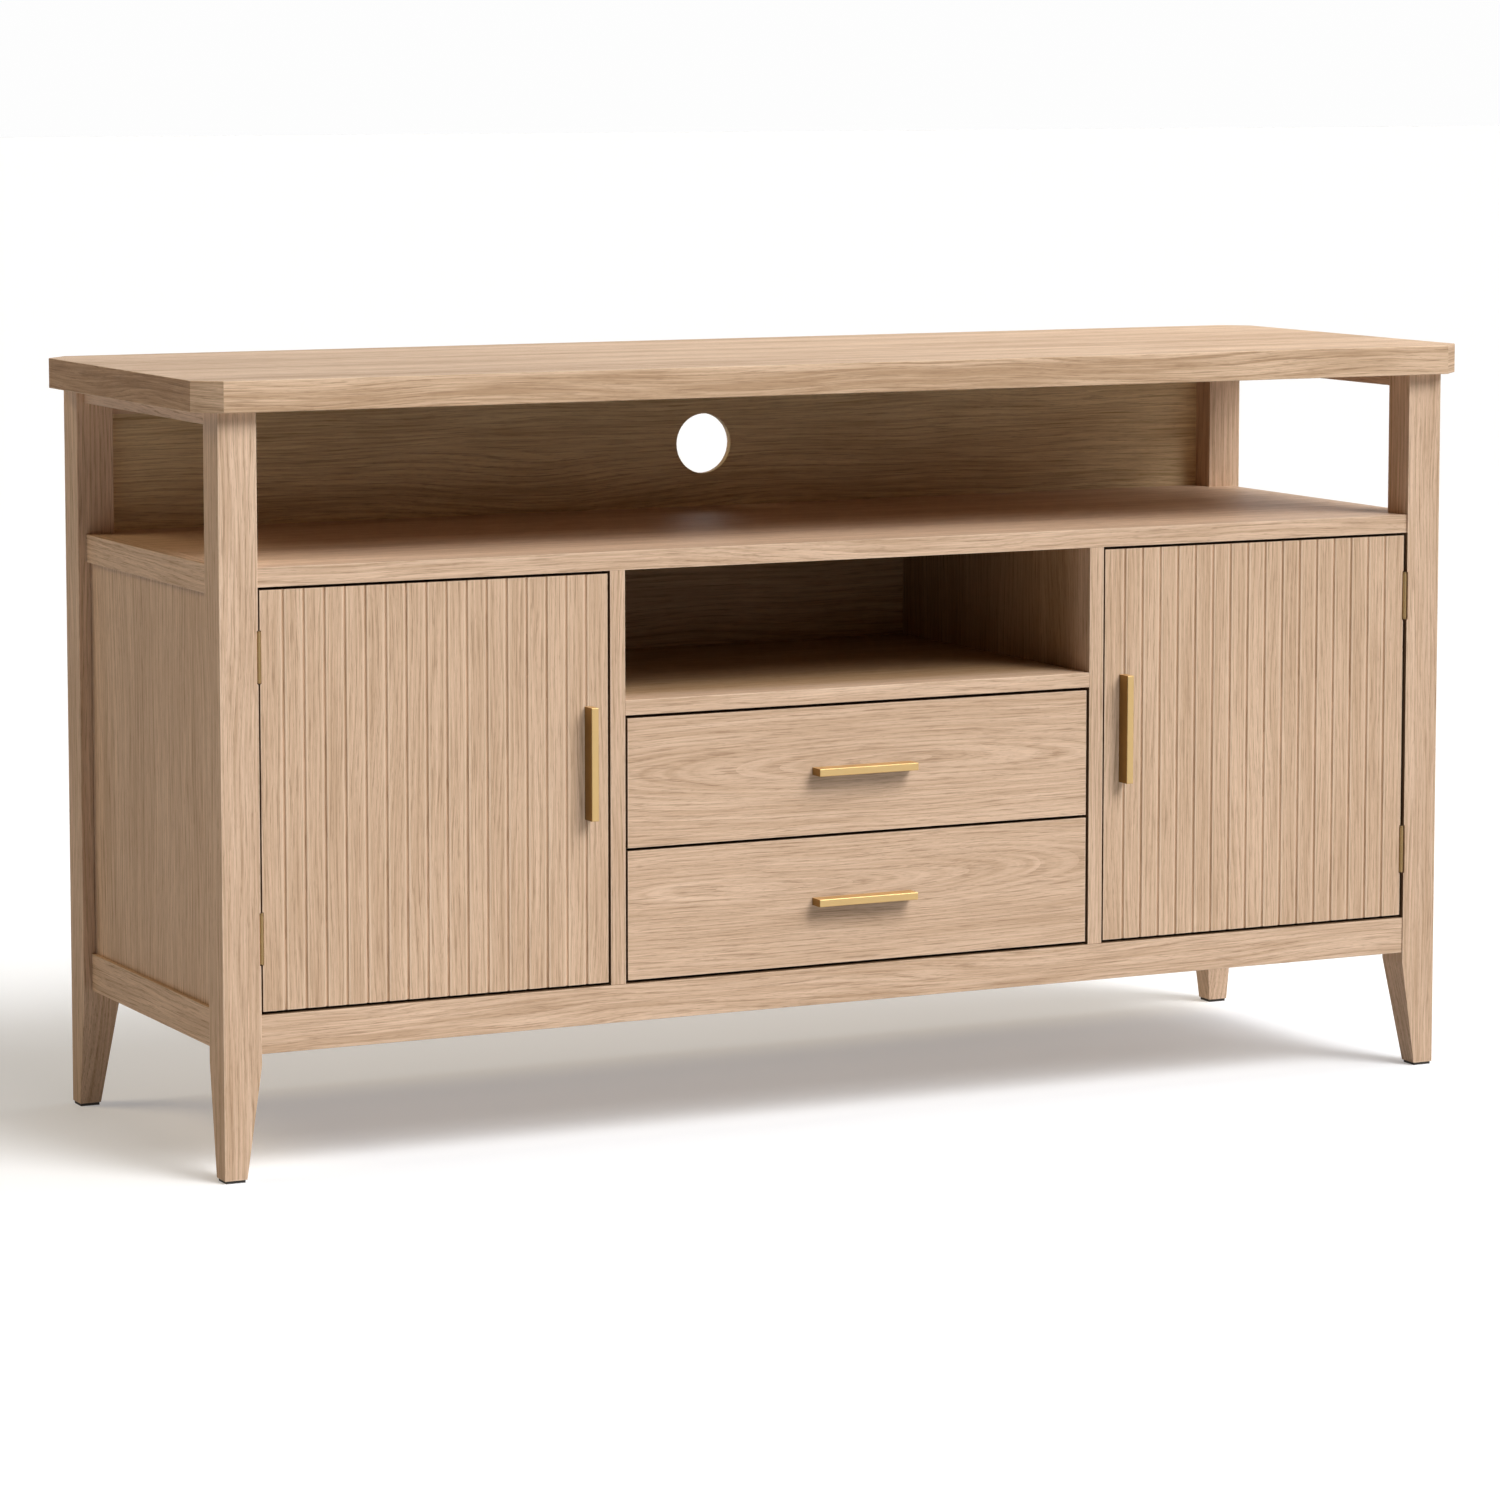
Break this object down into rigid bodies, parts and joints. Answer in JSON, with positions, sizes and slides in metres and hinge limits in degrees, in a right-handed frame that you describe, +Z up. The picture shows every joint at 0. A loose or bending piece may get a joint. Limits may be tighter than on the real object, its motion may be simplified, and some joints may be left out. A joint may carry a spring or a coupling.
{
  "type": "media cabinet",
  "caption": "Oak media cabinet on tapered legs: open bay under the top with a cable hole, fluted hinged doors each side, centre cubby over drawers, brass bar pulls.",
  "frame": {"origin": "centre of the footprint, on the floor under the foot glides", "axes": "+X to the right seen from the front, +Y to the back (doors and drawers open towards -Y), +Z up"},
  "size_m": [1.5, 0.483, 0.813],
  "materials": {
    "oak": "light oak veneer and solid oak, fine straight grain, matt lacquer",
    "drawer_ply": "pale birch plywood, clear lacquer",
    "brass": "satin brushed brass",
    "slide_steel": "zinc-plated rolled steel",
    "zinc_steel": "bright zinc-plated steel",
    "dark_plastic": "dark brown matt nylon"
  },
  "bodies": {
    "cabinet": {"bottom_panel": "oak", "carcass_screws": "zinc_steel", "centre_shelf": "oak", "door_catches": "dark_plastic", "foot_glides": "dark_plastic", "frame_hinge_screws": "brass", "frame_hinges": "brass", "front_bottom_rail": "oak", "front_left_leg": "oak", "front_right_leg": "oak", "left_bottom_side_rail": "oak", "left_divider": "oak", "left_inner_shelf": "oak", "left_mid_side_rail": "oak", "left_side_panel": "oak", "left_top_side_rail": "oak", "lower_back_panel": "oak", "main_shelf": "oak", "rear_bottom_rail": "oak", "rear_left_leg": "oak", "rear_right_leg": "oak", "rear_top_rail": "oak", "right_bottom_side_rail": "oak", "right_divider": "oak", "right_inner_shelf": "oak", "right_mid_side_rail": "oak", "right_side_panel": "oak", "right_top_side_rail": "oak", "shelf_pins": "zinc_steel", "slide_cabinet_members": "slide_steel", "top_slab": "oak", "upper_back_panel": "oak"},
    "left_door": {"left_catch_plate": "zinc_steel", "left_door_hinge_leaves": "brass", "left_door_panel": "oak", "left_door_pull": "brass", "left_door_screws": "brass"},
    "lower_drawer": {"lower_drawer_back": "drawer_ply", "lower_drawer_bottom": "drawer_ply", "lower_drawer_front": "oak", "lower_drawer_left_side": "drawer_ply", "lower_drawer_pull": "brass", "lower_drawer_right_side": "drawer_ply", "lower_drawer_screws": "zinc_steel", "lower_drawer_slide_members": "slide_steel"},
    "lower_slide_middle": {"lower_slide_middle_members": "slide_steel"},
    "right_door": {"right_catch_plate": "zinc_steel", "right_door_hinge_leaves": "brass", "right_door_panel": "oak", "right_door_pull": "brass", "right_door_screws": "brass"},
    "upper_drawer": {"upper_drawer_back": "drawer_ply", "upper_drawer_bottom": "drawer_ply", "upper_drawer_front": "oak", "upper_drawer_left_side": "drawer_ply", "upper_drawer_pull": "brass", "upper_drawer_right_side": "drawer_ply", "upper_drawer_screws": "zinc_steel", "upper_drawer_slide_members": "slide_steel"},
    "upper_slide_middle": {"upper_slide_middle_members": "slide_steel"}
  },
  "joints": [
    {"name": "left_door_hinge", "type": "hinge", "parent": "cabinet", "child": "left_door", "pos_m": [-0.6825, -0.2226, 0.3905], "axis": [0, 0, -1], "range_deg": [0, 110]},
    {"name": "right_door_hinge", "type": "hinge", "parent": "cabinet", "child": "right_door", "pos_m": [0.6825, -0.2226, 0.3905], "axis": [0, 0, 1], "range_deg": [0, 110]},
    {"name": "upper_drawer_slide", "type": "slide", "parent": "cabinet", "child": "upper_drawer", "axis": [0, -1, 0], "range_m": [0, 0.36]},
    {"name": "upper_middle_slide", "type": "slide", "parent": "cabinet", "child": "upper_slide_middle", "axis": [0, -1, 0], "range_m": [0, 0.18]},
    {"name": "lower_drawer_slide", "type": "slide", "parent": "cabinet", "child": "lower_drawer", "axis": [0, -1, 0], "range_m": [0, 0.36]},
    {"name": "lower_middle_slide", "type": "slide", "parent": "cabinet", "child": "lower_slide_middle", "axis": [0, -1, 0], "range_m": [0, 0.18]}
  ],
  "couplings": [
    {"joint": "upper_middle_slide", "follows": "upper_drawer_slide", "ratio": 0.5},
    {"joint": "lower_middle_slide", "follows": "lower_drawer_slide", "ratio": 0.5}
  ]
}
